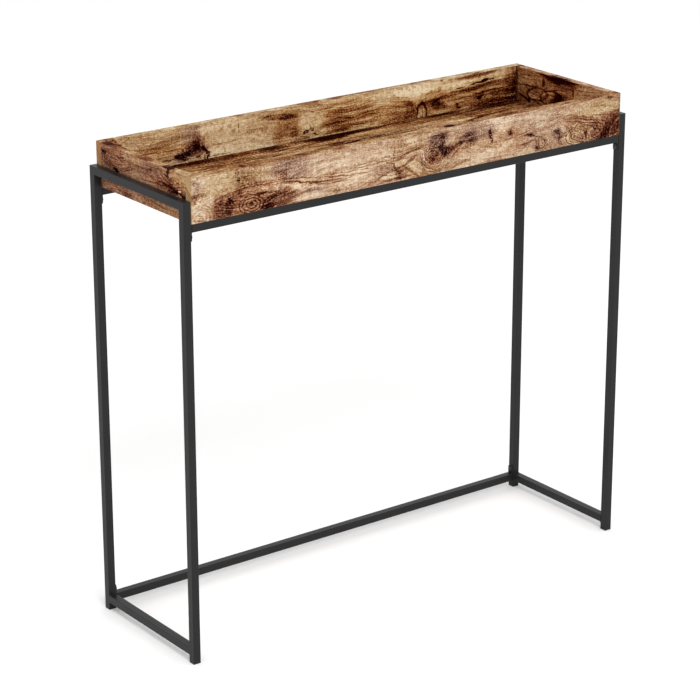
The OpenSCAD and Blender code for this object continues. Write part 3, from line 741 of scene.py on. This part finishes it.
# Each face of each board: axis, side, marks, palettes, level, light, contrast.
BOARDS = {
    "tray_front_board": [
        (Y_AXIS, -1, FRONT_OUTER, PINK_FAMILY, 0.715, 1.38, 0.95),
        (Y_AXIS, 1, SPARE, YELLOW_FAMILY, 0.6, 1.0, 1.0),
    ],
    "tray_rear_board": [
        (Y_AXIS, -1, REAR_INNER, YELLOW_FAMILY, 0.68, 1.02, 0.9),
        (Y_AXIS, 1, SPARE, PINK_FAMILY, 0.66, 1.2, 1.0),
    ],
    "tray_left_board": [
        (X_AXIS, -1, LEFT_OUTER, PINK_FAMILY, 0.46, 1.0, 0.9),
        (X_AXIS, 1, SPARE, YELLOW_FAMILY, 0.56, 0.9, 1.0),
    ],
    "tray_right_board": [
        (X_AXIS, -1, RIGHT_INNER, YELLOW_FAMILY, 0.33, 0.82, 0.85),
        (X_AXIS, 1, SPARE, PINK_FAMILY, 0.6, 1.1, 1.0),
    ],
    "tray_floor": [
        (Z_AXIS, 1, FLOOR_TOP, YELLOW_FAMILY, 0.5, 1.1, 1.5),
        (Z_AXIS, -1, SPARE, YELLOW_FAMILY, 0.55, 1.0, 1.0),
    ],
}
left_board_low, left_board_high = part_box("tray_left_board")
# Where each board's marks are measured from. Only the two axes that the marks run along matter.
CORNERS = {
    "tray_front_board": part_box("tray_front_board")[0],
    "tray_rear_board": Vector((left_board_high.x, 0.0, left_board_low.z)),
    "tray_left_board": Vector((0.0, left_board_high.y, left_board_low.z)),
    "tray_right_board": Vector((0.0, left_board_high.y, left_board_low.z)),
    "tray_floor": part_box("tray_floor")[0],
}
for order, (node, faces) in enumerate(BOARDS.items()):
    dress(node, board_material(node + "_print", node, faces, CORNERS[node], 31.0 * order))

# Palettes, level on top, level on the ends, and stains as (along, across, half length, half width, strength).
EDGINGS = {
    "tray_front_edging": (YELLOW_FAMILY, 0.53, 0.62, [
        (112, 6, 6, 6, -0.4), (135, 8, 40, 20, -0.1), (196, 8, 14, 9, -0.2), (250, 6, 24, 9, -0.2),
        (312, 4, 14, 9, -0.1), (566, 11, 9, 6, -0.7), (622, 3, 9, 5, -0.36), (700, 8, 26, 9, -0.16),
        (750, 6, 44, 9, -0.14), (830, 8, 30, 9, -0.1), (920, 6, 40, 9, -0.16), (982, 8, 5, 12, -0.3),
        (380, 8, 40, 20, 0.08), (490, 8, 50, 20, 0.06), (20, 8, 30, 20, 0.04),
    ]),
    "tray_rear_edging": (YELLOW_FAMILY, 0.7, 0.64, [
        (22, 8, 10, 9, -0.4), (8, 8, 8, 20, -0.12), (300, 6, 5, 9, -0.16), (460, 8, 20, 9, -0.3),
        (482, 4, 6, 5, -0.2), (522, 6, 16, 9, -0.3), (600, 4, 60, 6, -0.16), (716, 3, 6, 4, -0.36),
        (750, 4, 12, 8, -0.16), (556, 8, 10, 9, -0.1), (872, 12, 16, 4, -0.3), (852, 4, 8, 6, -0.16),
        (790, 8, 30, 20, 0.1), (900, 8, 20, 20, 0.08),
    ]),
    "tray_left_edging": (YELLOW_FAMILY, 0.55, 0.55, [
        (24, 8, 34, 20, -0.3), (16, 6, 12, 8, -0.2), (138, 7, 20, 12, -0.24), (212, 8, 12, 14, -0.4),
        (216, 10, 6, 5, -0.2), (256, 8, 16, 20, 0.12), (84, 8, 14, 20, 0.1),
    ]),
    "tray_right_edging": (PINK_FAMILY, 0.63, 0.63, [
        (4, 8, 6, 20, -0.36), (30, 8, 14, 8, -0.1), (130, 2, 34, 3, -0.5), (130, 8, 24, 12, -0.14),
        (112, 8, 6, 9, -0.14),
    ]),
}
for order, (node, (palettes, level, end_level, stains)) in enumerate(EDGINGS.items()):
    dress(node, edging_material(node + "_print", node, palettes, level, end_level, stains, 17.0 * order))

STEEL = powder_coat("charcoal_powder_coat", linear(33, 33, 34))
BOLT_BLACK = plain_material("black_zinc", linear(36, 36, 37), 0.42)
ZINC = plain_material("zinc_plate", linear(190, 190, 188), 0.35, metallic=1.0)
FOOT_PLASTIC = plain_material("foot_plastic", linear(26, 26, 26), 0.55)
DOWEL_WOOD = plain_material("dowel_beech", linear(206, 176, 138), 0.6)
SLOT_MATERIAL = {
    "frame_steel": STEEL,
    "black_bolt": BOLT_BLACK,
    "zinc_steel": ZINC,
    "foot_plastic": FOOT_PLASTIC,
    "dowel_wood": DOWEL_WOOD,
}
for part in frame["record"]["subparts"]:
    if part["material_slot"] in SLOT_MATERIAL:
        dress(part["node"], SLOT_MATERIAL[part["material_slot"]])

# ---------------------------------------------------------------- soft edges and welds

EDGE_ROUND = 0.3 * MM
for node in list(BOARDS) + list(EDGINGS):
    weld = NODES[node].modifiers.new("join_corners", "WELD")
    weld.merge_threshold = 0.01 * MM
    rounding = NODES[node].modifiers.new("soft_edges", "BEVEL")
    rounding.width = EDGE_ROUND
    rounding.segments = 2
    rounding.limit_method = "ANGLE"
    rounding.angle_limit = math.radians(40.0)

BEAD_RADIUS = 1.1 * MM
RIPPLE = 1.3 * MM
STEPS_PER_RIPPLE = 4
BEAD_SIDES = 10


def weld_bead(name, path):
    """A rippled bead of weld metal along the path, which is a list of corner points."""
    shape = bmesh.new()
    rings = []
    for start, end in zip(path, path[1:]):
        steps = max(2, int((end - start).length / (RIPPLE / STEPS_PER_RIPPLE)))
        side = (end - start).normalized()
        other = side.orthogonal().normalized()
        third = side.cross(other)
        for step in range(steps + 1):
            centre = start.lerp(end, step / steps)
            radius = BEAD_RADIUS * (0.86 + 0.14 * abs(math.sin(math.pi * step / STEPS_PER_RIPPLE)))
            ring = []
            for k in range(BEAD_SIDES):
                turn = 2 * math.pi * k / BEAD_SIDES
                spoke = math.cos(turn) * other + math.sin(turn) * third
                ring.append(shape.verts.new(centre + radius * spoke))
            rings.append(ring)
        for first, second in zip(rings[-steps - 1:], rings[-steps:]):
            for k in range(BEAD_SIDES):
                shape.faces.new((first[k], first[k - 1], second[k - 1], second[k])).smooth = True
        shape.faces.new(rings[-steps - 1])
        shape.faces.new(rings[-1][::-1])
    mesh = bpy.data.meshes.new(name)
    shape.to_mesh(mesh)
    shape.free()
    bead = bpy.data.objects.new(name, mesh)
    bpy.context.scene.collection.objects.link(bead)
    mesh.materials.append(STEEL)
    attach(bead, "root")


# The lower side bars are welded to the legs on three sides, and ground flush on the outside.
for side, outward in (("left", -1.0), ("right", 1.0)):
    low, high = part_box(side + "_lower_bar")
    inner, outer = (high.x, low.x + EDGE_ROUND) if outward < 0.0 else (low.x, high.x - EDGE_ROUND)
    for end, y in (("front", low.y), ("rear", high.y)):
        corners = [(outer, high.z), (inner, high.z), (inner, low.z), (outer, low.z)]
        weld_bead(f"{side}_{end}_weld", [Vector((x, y, z)) for x, z in corners])

# ---------------------------------------------------------------- floor, light and camera

floor_mesh = bpy.data.meshes.new("studio_floor")
shape = bmesh.new()
bmesh.ops.create_grid(shape, x_segments=8, y_segments=8, size=30.0)
shape.to_mesh(floor_mesh)
shape.free()
floor = bpy.data.objects.new("studio_floor", floor_mesh)
bpy.context.scene.collection.objects.link(floor)
floor_paint, g = new_material("floor_paint")
floor_tone = g.noise(object_place(g), 3.0, detail=2)[0]
g.finish(g.ramp(floor_tone, [linear(249, 249, 249), linear(251, 251, 251)]), 0.9, Specular_IOR_Level=0.0)
floor_mesh.materials.append(floor_paint)

world = bpy.data.worlds.new("studio")
bpy.context.scene.world = world
world.use_nodes = True
world.node_tree.nodes["Background"].inputs["Color"].default_value = (1.0, 1.0, 1.0, 1.0)
world.node_tree.nodes["Background"].inputs["Strength"].default_value = 1.0


def area_light(name, place, aim, size, power):
    """A square soft light at place, turned towards aim."""
    data = bpy.data.lights.new(name, "AREA")
    data.shape, data.size, data.energy = "SQUARE", size, power
    lamp = bpy.data.objects.new(name, data)
    lamp.location = place
    lamp.rotation_euler = (Vector(aim) - Vector(place)).to_track_quat("-Z", "Y").to_euler()
    bpy.context.scene.collection.objects.link(lamp)


area_light("key_light", (-1.2, -3.6, 4.2), (0.0, 0.0, 0.5), 2.4, 120.0)

scene = bpy.context.scene
scene.view_settings.view_transform = "Standard"
scene.view_settings.look = "None"

# The photo's viewpoint, found by fitting a camera to the frame's straight edges.
camera_data = bpy.data.cameras.new("camera")
camera_data.lens = 132.0
camera_data.sensor_width = 36.0
camera_data.clip_end = 200.0
camera = bpy.data.objects.new("camera", camera_data)
scene.collection.objects.link(camera)
camera.location = (-2.7907, -3.6723, 2.1047)
camera_aim = Vector((-0.0404, 0.0, 0.4619))
camera_roll = math.radians(-0.066)
look = (camera_aim - camera.location).to_track_quat("-Z", "Y").to_matrix()
camera.rotation_euler = (look @ Matrix.Rotation(camera_roll, 3, "Z")).to_euler()
scene.camera = camera
